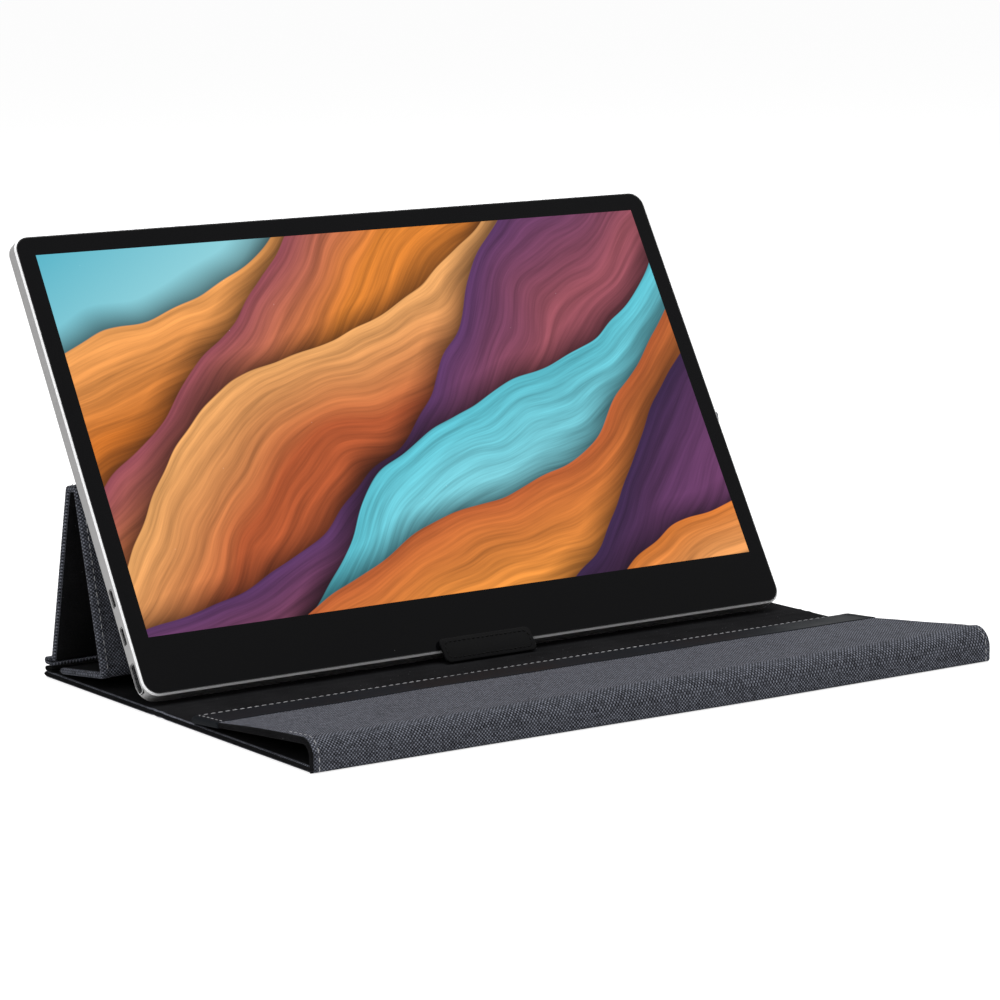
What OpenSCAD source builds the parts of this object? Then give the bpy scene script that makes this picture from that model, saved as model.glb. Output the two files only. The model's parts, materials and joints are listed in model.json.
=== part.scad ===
// Portable monitor standing on its folding cover.
// Origin: centre of the underside of the cover's base. X runs along the screen, Y to the rear, Z up.
// The screen faces -Y. Every part of the cover has one cross-section along X.

/* [Cover] */
// Width of the cover along X
cover_w = 372.6; // [366:0.1:390]
// Depth of the base from its front edge to its rear edge
base_l = 245; // [242:0.5:250]
// Thickness of every padded panel of the cover
panel_t = 3.1; // [2.9:0.1:3.4]
// Thickness of the woven outer cloth
cloth_t = 0.7; // [0.5:0.1:0.9]
// Thickness of the soft inner lining
lining_t = 0.6; // [0.4:0.1:0.8]
// Width of the turned hem at the free edges
hem_w = 2; // [1.5:0.5:3]
// Place of the soft crease in the base, along Y
crease_y = 12.5; // [8:0.5:14]
// Width of a soft crease between two boards
crease_w = 5; // [4:0.5:7]

/* [Closure flap] */
// Height of the fold at the front of the cover
fold_h = 14.5; // [12:0.5:16]
// Outer radius of that fold
fold_r = 8; // [6:0.5:9]
// Place of the flap's tail edge along Y
tail_y = -20.6; // [-30:0.5:-16]
// Width of the smooth band along the tail edge
band_w = 23; // [8:1:24]
// Thickness of the smooth band
band_t = 0.35; // [0.2:0.05:0.5]

/* [Prop] */
// Height of the prop's top edge
apex_h = 96.5; // [85:0.5:100]
// Width of the flat strip at the prop's top
apex_w = 10; // [9:0.5:11]
// Place of the rear leg's lower end along Y
leg_y = 115.1; // [113:0.1:115.5]
// Height of the rear leg's lower end
leg_z = 9.5; // [9.3:0.1:10]
// Place of the fold between front leg and foot along Y
foot_y = 62.5; // [55:0.5:68]
// Height of that fold's outer corner
foot_z = 8.9; // [6:0.1:9]
// Place of the foot's rear end along Y
foot_end_y = 105.8; // [95:0.5:107]

/* [Monitor] */
// Lean of the monitor from upright
lean = 30.7; // [28:0.1:34]
// Width of the monitor
mon_w = 364; // [358:1:366]
// Height of the monitor
mon_h = 232; // [228:0.5:236]
// Thickness of the monitor
mon_t = 9.4; // [9:0.1:11]
// Place of the monitor's middle along X
mon_x = -5.3; // [-6:0.1:6]
// Place of the monitor's lower back edge along Y
mon_y = 27.7; // [25:0.1:29]
// Depth of the straight side wall
side_t = 7; // [7:0.1:8]
// Width of the tapered border of the back
taper_w = 14; // [8:1:20]
// Corner radius seen from the front
corner_r = 8; // [6:0.5:10]
// Width of the picture area of a 15.6 inch 16:9 panel
screen_w = 344.2; // [340:0.1:345]
// Height of the picture area
screen_h = 193.6; // [190:0.1:194]
// Distance from the lower edge to the picture area
chin_h = 28; // [27:0.5:30]

/* [Retaining tab] */
// Width of the tab
tab_w = 52; // [40:1:70]
// Place of the tab's middle along X
tab_x = -3.5; // [-20:0.1:20]
// Place of the tab's lower edge along Y
tab_y = 14.2; // [12:0.1:16]
// How far up the front glass the tab reaches, from the monitor's lower edge
tab_up = 6; // [4:0.5:9]
// Thickness of the tab
tab_t = 1.7; // [1.2:0.1:2.2]

/* [Hidden] */
$fn = 64;

// Colours, near those of the photographed finishes
weave_colour = [0.24, 0.25, 0.29];
lining_colour = [0.07, 0.07, 0.07];
board_colour = [0.55, 0.52, 0.46];
metal_colour = [0.76, 0.76, 0.77];
steel_colour = [0.6, 0.6, 0.62];
black_colour = [0.05, 0.05, 0.055];
circuit_colour = [0.08, 0.25, 0.14];

// Small gaps that keep moving pieces apart
rest_gap = 0.2;
lean_gap = 1;
foot_gap = 0.9;
glass_gap = 0.35;
board_inset = 3;
// Overlap that joins two stretches of one cloth at a corner
join = 0.05;

front_y = -base_l / 2;
rear_y = base_l / 2;
base_top = panel_t;
board_t = panel_t - cloth_t - lining_t;

// Directions in the YZ plane, by angle from +Y towards +Z
function dir(a) = [cos(a), sin(a)];
function angle_to(p, q) = (atan2(q[1] - p[1], q[0] - p[0]) + 360) % 360;

// Closure flap: a line from the tail, tangent to the fold's circle
fold_c = [front_y + fold_r, fold_h - fold_r];
tail = [tail_y, base_top + rest_gap + panel_t];
tail_to_fold = norm(fold_c - tail);
flap_a = angle_to(tail, fold_c) - asin(fold_r / tail_to_fold);
flap_l = sqrt(tail_to_fold * tail_to_fold - fold_r * fold_r);
fold_start = flap_a - 90;
fold_mid = (fold_start + 180) / 2;

// Monitor: lower back edge on the base, leaning back against the prop
mon_foot = [mon_y, base_top + rest_gap];
mon_up = dir(90 - lean);
mon_out = dir(180 - lean);

// Prop: outer corners, from the rear leg over the top to the foot
strip_tilt = 9;
back_run = (apex_h - mon_foot[1]) / mon_up[1];
apex_front = mon_foot + back_run * mon_up + [lean_gap / cos(lean), 0];
apex_rear = apex_front + apex_w * dir(-strip_tilt);
leg_foot = [leg_y, leg_z];
foot_fold = [foot_y, foot_z];
foot_end = [foot_end_y, base_top + foot_gap];
leg_a = angle_to(leg_foot, apex_rear);
strip_a = angle_to(apex_rear, apex_front);
front_a = angle_to(apex_front, foot_fold);
foot_a = angle_to(foot_fold, foot_end);
leg_l = norm(apex_rear - leg_foot);
strip_l = norm(apex_front - apex_rear);
front_l = norm(foot_fold - apex_front);
foot_l = norm(foot_end - foot_fold);
apex_cut = tan((strip_a - leg_a) / 2);
corner_cut = tan((front_a - strip_a) / 2);
foot_cut = tan((foot_a - front_a) / 2);

// Tab: its underside runs from the base to just in front of the glass
tab_low = [tab_y, base_top + rest_gap];
tab_high = mon_foot + mon_t * mon_out + tab_up * mon_up + glass_gap * mon_out;
tab_a = angle_to(tab_low, tab_high);
tab_l = norm(tab_high - tab_low);
tab_layer = 0.7;

// Monitor stack, measured backwards from the front face
lip_w = 0.8;
lip_cut = 0.8;
gasket_w = 0.5;
gasket_lap = 1.6;
glass_t = 0.9;
seat_t = 1.5;
wall_t = 2.2;
back_t = 1.2;
cell_t = 0.9;
film_t = 0.2;
guide_t = 0.45;
tray_t = 0.2;
cell_margin = 3;
cell_foot = 8;
cell_front = 0.95;
film_front = cell_front + cell_t;
guide_front = film_front + film_t;
tray_front = guide_front + guide_t;

// Ports in the left wall: distance up from the lower edge
port_depth = 4.45;
hdmi_z = 10.6;
usb_z = [31.4, 50];
hdmi_size = [14.4, 4.4];
usb_size = [8.6, 3];
port_wall = 0.3;
port_recess = 0.5;
port_gap = 0.15;
hdmi_l = 10;
usb_l = 7.6;

// Keys in the right wall
power_z = 40;
power_l = 10;
rocker_z = 68;
rocker_l = 20;
key_h = 2.6;
key_depth = 3.9;
key_proud = 0.5;
key_gap = 0.2;
key_flange_t = 1.4;
key_flange_back = mon_w / 2 - wall_t - 0.25 - key_flange_t;
key_travel = 0.4;

// Circuit board and its screws
board_front = 6.1;
pcb_t = 1;
board_x = -172;
board_w = 120;
board_low = 20;
board_top = 72;
screw_r = 0.95;
screw_hole_r = 1;
boss_r = 2.2;
cable_x = -80;
cable_w = 24;
cable_end = 27;
screw_at = [[-160, 62], [-110, 26], [-110, 62], [-60, 38]];
magnet_r = 4;
magnet_at = [-150, -60, 60, 150];

// Placement

// Extrudes a YZ outline along X, centred
module along_x(w) {
    rotate([90, 0, 90]) linear_extrude(w, center = true) children();
}

// Puts a panel's own frame at an outer corner: Y along the panel, Z to its inner side
module at_panel(p, a) {
    translate([0, p[0], p[1]]) rotate([a, 0, 0]) children();
}

// Puts the monitor's own frame in place: Y backwards from the front face, Z up the screen
module at_monitor() {
    translate([mon_x, mon_foot[0], mon_foot[1]]) rotate([-lean, 0, 0]) translate([0, -mon_t, 0]) children();
}

// Panels of the cover

// Outline of one layer, with mitred ends
module layer(l, t0, t1, cut0 = 0, cut1 = 0) {
    polygon([[t0 * cut0, t0], [l - t0 * cut1, t0], [l - t1 * cut1, t1], [t1 * cut0, t1]]);
}

// Outer cloth with its turned side hems; hem0 and hem1 turn the cloth over the ends too
module panel_cloth(l, cut0 = 0, cut1 = 0, hem0 = false, hem1 = false) {
    along_x(cover_w) layer(l, 0, cloth_t, cut0, cut1);
    for (side = [-1, 1])
        translate([side * (cover_w - hem_w) / 2, 0, 0]) along_x(hem_w) layer(l, 0, panel_t, cut0, cut1);
    if (hem0) along_x(cover_w) layer(hem_w, 0, panel_t, cut0, 0);
    if (hem1) along_x(cover_w) translate([l - hem_w, 0]) layer(hem_w, 0, panel_t, 0, cut1);
}

// Lining between the hems
module panel_lining(l, cut0 = 0, cut1 = 0, hem0 = false, hem1 = false) {
    start = hem0 ? hem_w : 0;
    end = hem1 ? l - hem_w : l;
    along_x(cover_w - 2 * hem_w) translate([start, 0])
        layer(end - start, panel_t - lining_t, panel_t, hem0 ? 0 : cut0, hem1 ? 0 : cut1);
}

// Stiff board between cloth and lining, from one distance along the panel to another
module panel_board(from, to) {
    along_x(cover_w - 2 * hem_w - 1) translate([from, 0]) layer(to - from, cloth_t, cloth_t + board_t);
}

// Round magnets set in a board, at one distance along the panel
module magnets(at, r) {
    for (x = magnet_at) translate([x, at, cloth_t]) cylinder(r = r, h = board_t);
}

// Part of a ring about a centre, between two angles
module fold_ring(c, a0, a1, r0, r1) {
    translate(c) difference() {
        intersection() {
            circle(r1);
            polygon([[0, 0], 2 * r1 * dir(a0), 2 * r1 * dir((a0 + a1) / 2), 2 * r1 * dir(a1)]);
        }
        circle(r0);
    }
}

module fold_cloth(c, a0, a1) {
    along_x(cover_w) fold_ring(c, a0, a1, fold_r - cloth_t, fold_r);
    for (side = [-1, 1])
        translate([side * (cover_w - hem_w) / 2, 0, 0])
            along_x(hem_w) fold_ring(c, a0, a1, fold_r - panel_t, fold_r);
}

module fold_lining(c, a0, a1) {
    along_x(cover_w - 2 * hem_w) fold_ring(c, a0, a1, fold_r - panel_t, fold_r - panel_t + lining_t);
}

// Base

module base_cloth() {
    color(weave_colour) at_panel([front_y, 0], 0) panel_cloth(base_l, 1, 0, false, true);
}

module base_front_board() {
    color(board_colour) at_panel([front_y, 0], 0)
        panel_board(board_inset + panel_t, crease_y - crease_w / 2 - front_y);
}

module base_rear_board() {
    color(board_colour) difference() {
        at_panel([front_y, 0], 0) panel_board(crease_y + crease_w / 2 - front_y, base_l - hem_w - 0.5);
        keeper_form(0.1);
    }
}

module base_lining() {
    color(lining_colour) at_panel([front_y, 0], 0) panel_lining(base_l, 1, 0, false, true);
}

// Steel strip under the lining that the foot's magnets hold on to
module keeper_form(extra) {
    keeper_w = 320 + 2 * extra;
    keeper_l = 12 + 2 * extra;
    translate([-keeper_w / 2, foot_end_y - 14 - extra, cloth_t + board_t - 0.8])
        cube([keeper_w, keeper_l, 0.8 + extra / 10]);
}

module foot_keeper() {
    color(steel_colour) keeper_form(0);
}

// Front spine

module at_spine() {
    at_panel([front_y, fold_c[1]], 270) children();
}

module spine_cloth() {
    color(weave_colour) {
        at_spine() panel_cloth(fold_c[1], 0, 1);
        fold_cloth(fold_c, fold_mid, 180);
    }
}

module spine_board() {
    color(board_colour) at_spine() panel_board(0.3, fold_c[1] - panel_t);
}

module spine_lining() {
    color(lining_colour) {
        at_spine() panel_lining(fold_c[1], 0, 1);
        fold_lining(fold_c, fold_mid, 180);
    }
}

// Closure flap

module at_flap() {
    at_panel(tail, flap_a) children();
}

module flap_cloth() {
    color(weave_colour) at_flap() {
        panel_cloth(flap_l, 0, 0, true, false);
        fold_cloth([flap_l, fold_r], -90, fold_mid - flap_a);
    }
}

module flap_board() {
    color(board_colour) at_flap() difference() {
        panel_board(hem_w + 0.5, flap_l - 1);
        magnets(9, magnet_r + 0.1);
    }
}

module flap_lining() {
    color(lining_colour) at_flap() {
        panel_lining(flap_l, 0, 0, true, false);
        fold_lining([flap_l, fold_r], -90, fold_mid - flap_a);
    }
}

// Smooth band sewn over the tail edge
module flap_band() {
    color(black_colour) at_flap() along_x(cover_w)
        polygon([
            [-band_t, -band_t], [band_w, -band_t], [band_w, 0],
            [0, 0], [0, panel_t], [-band_t, panel_t]
        ]);
}

module flap_magnets() {
    color(steel_colour) at_flap() magnets(9, magnet_r);
}

// Soft rear fold, crumpled between the base and the rear leg

fold_gap = 0.15;
lining_fold_r = 1.35;
cloth_fold_r = 1.2;

// One fold with a round rear end
module fold_end(y0, y1, z, r) {
    along_x(cover_w) {
        translate([y0, z - r]) square([y1 - y0, 2 * r]);
        translate([y1, z]) circle(r);
    }
}

module rear_fold_lining() {
    color(lining_colour)
        fold_end(leg_y - 1.7, rear_y - 0.9, base_top + fold_gap + lining_fold_r, lining_fold_r);
}

module rear_fold_cloth() {
    low = base_top + fold_gap + 2 * lining_fold_r + 0.1;
    color(weave_colour) {
        fold_end(leg_y - 0.9, rear_y - 1.1, low + cloth_fold_r, cloth_fold_r);
        along_x(cover_w) translate([leg_y + 0.4, low]) square([1.6, leg_z + 1 - low]);
    }
}

// Rear leg

module at_rear_leg() {
    at_panel(leg_foot, leg_a) children();
}

module rear_leg_cloth() {
    color(weave_colour) at_rear_leg() panel_cloth(leg_l, 0, apex_cut);
}

module rear_leg_board() {
    color(board_colour) at_rear_leg() panel_board(1.5, leg_l - board_inset - 1);
}

module rear_leg_lining() {
    color(lining_colour) at_rear_leg() panel_lining(leg_l, 0, apex_cut);
}

// Front leg with the strip at the prop's top

module at_strip() {
    at_panel(apex_rear, strip_a) children();
}

module at_front_leg() {
    at_panel(apex_front, front_a) children();
}

// Rounded outer corner of the fold between front leg and foot
module foot_corner() {
    turn = foot_a - front_a;
    along_x(cover_w) translate([front_l - panel_t * foot_cut, panel_t]) intersection() {
        circle(panel_t);
        polygon([
            [0, 0], 2 * panel_t * dir(-92),
            2.8 * panel_t * dir(turn / 2 - 90), 2 * panel_t * dir(turn - 90.5)
        ]);
    }
}

module front_leg_cloth() {
    color(weave_colour) {
        at_strip() panel_cloth(strip_l + join, apex_cut, corner_cut);
        at_front_leg() {
            panel_cloth(front_l - panel_t * foot_cut, corner_cut, 0);
            foot_corner();
        }
    }
}

module apex_board() {
    color(board_colour) at_strip() panel_board(board_inset, strip_l - board_inset);
}

module front_leg_board() {
    color(board_colour) at_front_leg()
        panel_board(board_inset + 1, front_l - panel_t * foot_cut - 0.5);
}

module front_leg_lining() {
    color(lining_colour) {
        at_strip() panel_lining(strip_l + join, apex_cut, corner_cut);
        at_front_leg() panel_lining(front_l - panel_t * foot_cut, corner_cut, 0);
    }
}

// Foot of the prop, folded back over the base

module at_foot() {
    at_panel(foot_fold + panel_t * foot_cut * dir(foot_a), foot_a) children();
}

foot_run = foot_l - panel_t * foot_cut;
foot_magnet_at = foot_run - 9;

module foot_cloth() {
    color(weave_colour) at_foot() panel_cloth(foot_run, 0, 0, false, true);
}

module foot_board() {
    color(board_colour) at_foot() difference() {
        panel_board(0.5, foot_run - hem_w - 0.5);
        magnets(foot_magnet_at, magnet_r + 0.1);
    }
}

module foot_lining() {
    color(lining_colour) at_foot() panel_lining(foot_run, 0, 0, false, true);
}

module foot_magnets() {
    color(steel_colour) at_foot() magnets(foot_magnet_at, magnet_r);
}

// Retaining tab in front of the monitor's lower edge

module tab_form(t0, t1, inset) {
    tab_r = 3;
    at_panel(tab_low, tab_a) translate([tab_x, tab_l / 2, t0]) linear_extrude(t1 - t0)
        rounded(tab_w - 2 * inset, tab_l - 2 * inset, tab_r);
}

module tab_leather() {
    color(black_colour) tab_form(tab_layer, tab_t, 0);
}

module tab_backing() {
    color(lining_colour) tab_form(0, tab_layer, 0.3);
}

// Monitor

// Rectangle with round corners, centred
module rounded(w, h, r) {
    square([w - 2 * r, h], center = true);
    square([w, h - 2 * r], center = true);
    for (x = [-1, 1], y = [-1, 1]) translate([x * (w / 2 - r), y * (h / 2 - r)]) circle(r);
}

// Plate in the monitor's frame between two depths, shrunk all round
module plate(shrink, y0, y1, r = corner_r) {
    translate([0, y1, mon_h / 2]) rotate([90, 0, 0]) linear_extrude(y1 - y0)
        rounded(mon_w - 2 * shrink, mon_h - 2 * shrink, max(r - shrink, 0.5));
}

// Ring in the monitor's frame between two outlines
module ring(outer, inner, y0, y1) {
    difference() {
        plate(outer, y0, y1);
        plate(inner, y0 - 1, y1 + 1);
    }
}

// Block in the monitor's frame, given by its middle along X and Z
module block(x, z, w, h, y0, y1) {
    translate([x - w / 2, y0, z - h / 2]) cube([w, y1 - y0, h]);
}

// The housing's form, shrunk by s, with the back tapered at the sides and the top
module housing_form(s, y0, y1) {
    over = 50;
    intersection() {
        plate(s, y0, y1);
        along_x(mon_w + over) polygon([
            [-over, -over], [-over, mon_h - s], [side_t - s / 2, mon_h - s],
            [y1, mon_h - taper_w - s / 2], [y1, -over]
        ]);
        translate([0, 0, -over]) linear_extrude(mon_h + 2 * over) polygon([
            [-mon_w / 2 + s, -over], [mon_w / 2 - s, -over], [mon_w / 2 - s, side_t - s / 2],
            [mon_w / 2 - taper_w - s / 2, y1], [-mon_w / 2 + taper_w + s / 2, y1],
            [-mon_w / 2 + s, side_t - s / 2]
        ]);
    }
}

// Bright chamfer round the front edge, as the solid that is cut away
module front_chamfer() {
    face = [[-lip_cut - 0.01, -1], [1, -1], [1, 1 + 0.01], [0, lip_cut], [-lip_cut, 0]];
    half_w = mon_w / 2;
    half_h = mon_h / 2;
    translate([0, 0, half_h]) for (a = [0, 180]) rotate([0, a, 0]) {
        // Right edge, as seen with this turn
        translate([half_w, 0, 0]) linear_extrude(mon_h - 2 * corner_r, center = true) polygon(face);
        // Upper edge
        rotate([0, -90, 0]) translate([half_h, 0, 0])
            linear_extrude(mon_w - 2 * corner_r, center = true) polygon(face);
        // Two corners
        for (z = [-1, 1]) translate([half_w - corner_r, 0, z * (half_h - corner_r)])
            rotate([-90, 0, 0]) rotate([0, 0, z > 0 ? -90 : 0]) rotate_extrude(angle = 90)
                polygon([for (p = face) [corner_r + p[0], p[1]]]);
    }
}

// Slot through the left wall for a port, with round ends
module port_cut(z, size, l) {
    translate([-mon_w / 2 - 1, port_depth, z]) rotate([90, 0, 90])
        linear_extrude(1 + port_recess + l + port_gap)
        rounded(size[1] + 2 * port_gap, size[0] + 2 * port_gap, min(size) / 2 * 0.6);
}

// Slot through the right wall for a key
module key_cut(z, l) {
    translate([mon_w / 2 - wall_t - 1, key_depth, z]) rotate([90, 0, 90]) linear_extrude(wall_t + 2)
        rounded(key_h + 2 * key_gap, l + 2 * key_gap, key_h / 2);
}

module speaker_slots() {
    for (side = [-1, 1], i = [0 : 8])
        translate([side * (110 + 5 * i), mon_t + 1, 12]) rotate([90, 0, 0]) linear_extrude(back_t + 3)
            rounded(1.4, 8, 0.69);
}

module rear_housing() {
    color(metal_colour) at_monitor() difference() {
        union() {
            difference() {
                housing_form(0, 0, mon_t);
                plate(lip_w, -1, seat_t);
                housing_form(wall_t, seat_t - 0.5, mon_t - back_t);
            }
            for (p = screw_at) translate([p[0], mon_t - 0.2, p[1]]) rotate([90, 0, 0])
                cylinder(r = boss_r, h = mon_t - 0.2 - board_front - pcb_t);
        }
        front_chamfer();
        port_cut(hdmi_z, hdmi_size, hdmi_l);
        for (z = usb_z) port_cut(z, usb_size, usb_l);
        key_cut(power_z, power_l);
        key_cut(rocker_z, rocker_l);
        speaker_slots();
        for (p = screw_at) translate([p[0], mon_t - 0.8, p[1]]) rotate([90, 0, 0])
            cylinder(r = screw_hole_r, h = mon_t);
    }
}

module screen_gasket() {
    color(black_colour) at_monitor() {
        ring(lip_w, lip_w + gasket_w, 0.1, glass_t + 0.01);
        ring(lip_w, lip_w + gasket_w + gasket_lap, glass_t, seat_t);
    }
}

module front_glass() {
    color(black_colour) at_monitor() plate(lip_w + gasket_w, 0, glass_t);
}

// A sheet of the display stack: the picture area with a margin
module sheet(margin, foot, y0, y1) {
    w = screen_w + 2 * margin;
    h = screen_h + margin + foot;
    block(0, chin_h + screen_h + margin - h / 2, w, h, y0, y1);
}

module display_cell() {
    color([0.15, 0.17, 0.25]) at_monitor() sheet(cell_margin, cell_foot, cell_front, film_front);
}

module diffuser_films() {
    color([0.9, 0.9, 0.92]) at_monitor() sheet(cell_margin - 0.5, 5, film_front, guide_front);
}

module light_guide() {
    color([0.8, 0.88, 0.9]) at_monitor() sheet(cell_margin - 0.5, 3.5, guide_front, tray_front);
}

module led_bar() {
    color([0.95, 0.95, 0.85]) at_monitor()
        block(0, chin_h - 4.6, screen_w, 1.6, guide_front, tray_front);
}

module backlight_tray() {
    color(steel_colour) at_monitor() sheet(cell_margin, cell_foot, tray_front, tray_front + tray_t);
}

// Main circuit board, with a tongue beside the largest port and the speaker below it
module main_board() {
    board_back = board_front + pcb_t;
    tongue_x = board_x + 1.5;
    tongue_end = board_x + 17;
    tongue_low = 8;
    color(circuit_colour) at_monitor() difference() {
        union() {
            translate([0, board_back, 0]) rotate([90, 0, 0]) linear_extrude(pcb_t) polygon([
                [board_x, board_low], [tongue_x, board_low], [tongue_x, tongue_low],
                [tongue_end, tongue_low], [tongue_end, board_low], [board_x + board_w, board_low],
                [board_x + board_w, board_top], [board_x, board_top]
            ]);
            block(-128, 40, 18, 18, board_front - 1.4, board_front + 0.1);
            block(-92, 52, 10, 10, board_front - 1.2, board_front + 0.1);
            block(cable_x, cable_end + 3.3, cable_w, 6, board_front - 1.8, board_front + 0.1);
        }
        for (p = screw_at) translate([p[0], board_back + 1, p[1]]) rotate([90, 0, 0])
            cylinder(r = screw_hole_r, h = pcb_t + 2);
    }
}

module board_screws() {
    head_r = 1.9;
    head_t = 0.8;
    shank_l = pcb_t + 1.3;
    color(steel_colour) at_monitor() for (p = screw_at) translate([p[0], board_front, p[1]]) {
        rotate([90, 0, 0]) cylinder(r = head_r, h = head_t);
        translate([0, shank_l, 0]) rotate([90, 0, 0]) cylinder(r = screw_r, h = shank_l + 0.1);
    }
}

// Small board that carries the switches behind the keys
module button_board() {
    switch_t = 0.9;
    switch_face = key_flange_back - key_travel - 0.2;
    board_face = switch_face - switch_t;
    color(circuit_colour) at_monitor() {
        block(board_face - pcb_t / 2, 55, pcb_t, 56, 2.9, 6.2);
        for (z = [power_z, rocker_z - 6, rocker_z + 6])
            block(switch_face - switch_t / 2 - join, z, switch_t + 2 * join, 4, 2.9, 5);
    }
}

// Metal shell of a socket, open to the left, with its end wall
module port_shell(z, size, l) {
    start = -mon_w / 2 + port_recess;
    translate([start, port_depth, z]) rotate([90, 0, 90]) difference() {
        linear_extrude(l) rounded(size[1], size[0], min(size) / 2 * 0.6);
        translate([0, 0, -1]) linear_extrude(l)
            rounded(size[1] - 2 * port_wall, size[0] - 2 * port_wall, min(size) / 2 * 0.5);
    }
}

module hdmi_socket() {
    color(steel_colour) at_monitor() port_shell(hdmi_z, hdmi_size, hdmi_l);
}

module usb_sockets() {
    color(steel_colour) at_monitor() for (z = usb_z) port_shell(z, usb_size, usb_l);
}

// Plastic tongues that carry the contacts, one in each socket
module port_tongues() {
    start = -mon_w / 2 + port_recess;
    tongue_gap = 0.1;
    color(black_colour) at_monitor() {
        block(start + hdmi_l / 2 + 0.5, hdmi_z, hdmi_l - 3 - 2 * tongue_gap, 10.5,
              port_depth - 0.5, port_depth + 0.5);
        for (z = usb_z)
            block(start + usb_l / 2 + 0.2, z, usb_l - 2.2 - 2 * tongue_gap, 6.6,
                  port_depth - 0.35, port_depth + 0.35);
    }
}

module speaker(side) {
    color(black_colour) at_monitor() block(side * 130, 12, 46, 11, 2.4, 7.8);
}

module left_speaker() {
    speaker(-1);
}

module right_speaker() {
    speaker(1);
}

// Flat cable from the lower edge of the display cell round to the main board
module display_cable() {
    loop_z = chin_h - cell_foot - 3;
    cable_t = 0.15;
    cell_back = film_front;
    board_face = board_front - 0.05;
    cell_z = chin_h - cell_foot - 0.1;
    color([0.75, 0.45, 0.1]) at_monitor() translate([cable_x, 0, 0]) along_x(cable_w) polygon([
        [cell_back - 0.3, cell_z], [cell_back - 0.3, loop_z], [board_face, loop_z], [board_face, cable_end],
        [board_face - cable_t, cable_end], [board_face - cable_t, loop_z + cable_t],
        [cell_back - 0.3 + cable_t, loop_z + cable_t], [cell_back - 0.3 + cable_t, cell_z]
    ]);
}

// A key: a bar with round ends in the wall and a thicker flange behind the wall
module key(z, l, flange_l) {
    flange_h = key_h + 2 * key_gap + 0.6;
    translate([key_flange_back, key_depth, z]) rotate([90, 0, 90])
        linear_extrude(mon_w / 2 + key_proud - key_flange_back) rounded(key_h, l, key_h / 2 - 0.05);
    block(key_flange_back + key_flange_t / 2, z, key_flange_t, flange_l,
        key_depth - flange_h / 2, key_depth + flange_h / 2);
}

module power_button() {
    color(metal_colour) at_monitor() key(power_z, power_l, power_l + 2);
}

module menu_rocker() {
    color(metal_colour) at_monitor() key(rocker_z, rocker_l, rocker_l / 3);
}

rear_housing();
screen_gasket();
front_glass();
display_cell();
diffuser_films();
light_guide();
led_bar();
backlight_tray();
main_board();
button_board();
hdmi_socket();
usb_sockets();
port_tongues();
left_speaker();
right_speaker();
display_cable();
board_screws();
power_button();
menu_rocker();
base_cloth();
base_front_board();
base_rear_board();
base_lining();
foot_keeper();
spine_cloth();
spine_board();
spine_lining();
flap_cloth();
flap_board();
flap_lining();
flap_band();
flap_magnets();
rear_fold_cloth();
rear_fold_lining();
rear_leg_cloth();
rear_leg_board();
rear_leg_lining();
front_leg_cloth();
front_leg_board();
apex_board();
front_leg_lining();
foot_cloth();
foot_board();
foot_lining();
foot_magnets();
tab_leather();
tab_backing();
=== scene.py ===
# %% [markdown]
# # A portable monitor standing in its folding cover
#
# The solids of the part are loaded first, as a fixed frame. They show where every piece is. The
# stiff pieces of the monitor keep their solids and only get a finish. The cloth pieces of the cover
# are made again as soft, rounded panels, because a plain slab doesn't look like cloth over board.

# %% Load the frame
import json
import math
from functools import partial

import bmesh
import bpy
from mathutils import Matrix, Vector


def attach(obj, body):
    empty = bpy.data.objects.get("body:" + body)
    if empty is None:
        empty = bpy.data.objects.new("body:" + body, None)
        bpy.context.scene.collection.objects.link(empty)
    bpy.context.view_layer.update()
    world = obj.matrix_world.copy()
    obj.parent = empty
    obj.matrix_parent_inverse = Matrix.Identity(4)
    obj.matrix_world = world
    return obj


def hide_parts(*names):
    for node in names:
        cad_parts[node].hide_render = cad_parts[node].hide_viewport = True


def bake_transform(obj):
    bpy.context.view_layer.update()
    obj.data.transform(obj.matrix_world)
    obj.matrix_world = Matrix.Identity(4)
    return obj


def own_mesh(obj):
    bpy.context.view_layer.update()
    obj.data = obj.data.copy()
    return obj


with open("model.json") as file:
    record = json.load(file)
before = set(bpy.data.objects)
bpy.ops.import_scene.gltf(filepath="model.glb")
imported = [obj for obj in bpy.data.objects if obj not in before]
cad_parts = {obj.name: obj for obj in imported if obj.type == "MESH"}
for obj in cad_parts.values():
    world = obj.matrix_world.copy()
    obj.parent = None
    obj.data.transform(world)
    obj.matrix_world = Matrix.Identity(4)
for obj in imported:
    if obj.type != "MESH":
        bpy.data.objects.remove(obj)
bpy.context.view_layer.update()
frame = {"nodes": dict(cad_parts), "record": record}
nodes = frame["nodes"]
print("solids in the frame:", len(nodes))

# %% [markdown]
# ## Sizes
#
# These are the part's own sizes in millimetres. A panel is drawn in the YZ plane, as seen from its
# end, and carried along X. An angle runs from +Y towards +Z, and a panel's inner side is to the left
# of its direction. The rest gap lies between the base and whatever rests on it.

# %% Sizes and directions
MM = 0.001
cover_w = 372.6
half_w = cover_w / 2
panel_t = 3.1
rest_gap = 0.2
front_y = -122.5
rear_y = 122.5
lean = math.radians(30.7)
mon_x = -5.3
mon_foot = Vector((0.0, 27.7, panel_t + rest_gap))
mon_t = 9.4
glass_w, glass_h = 344.2, 193.6
chin_h = 28.0


def direction(a):
    return Vector((math.cos(math.radians(a)), math.sin(math.radians(a))))


def angle_between(p, q):
    return math.degrees(math.atan2(q[1] - p[1], q[0] - p[0])) % 360


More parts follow.
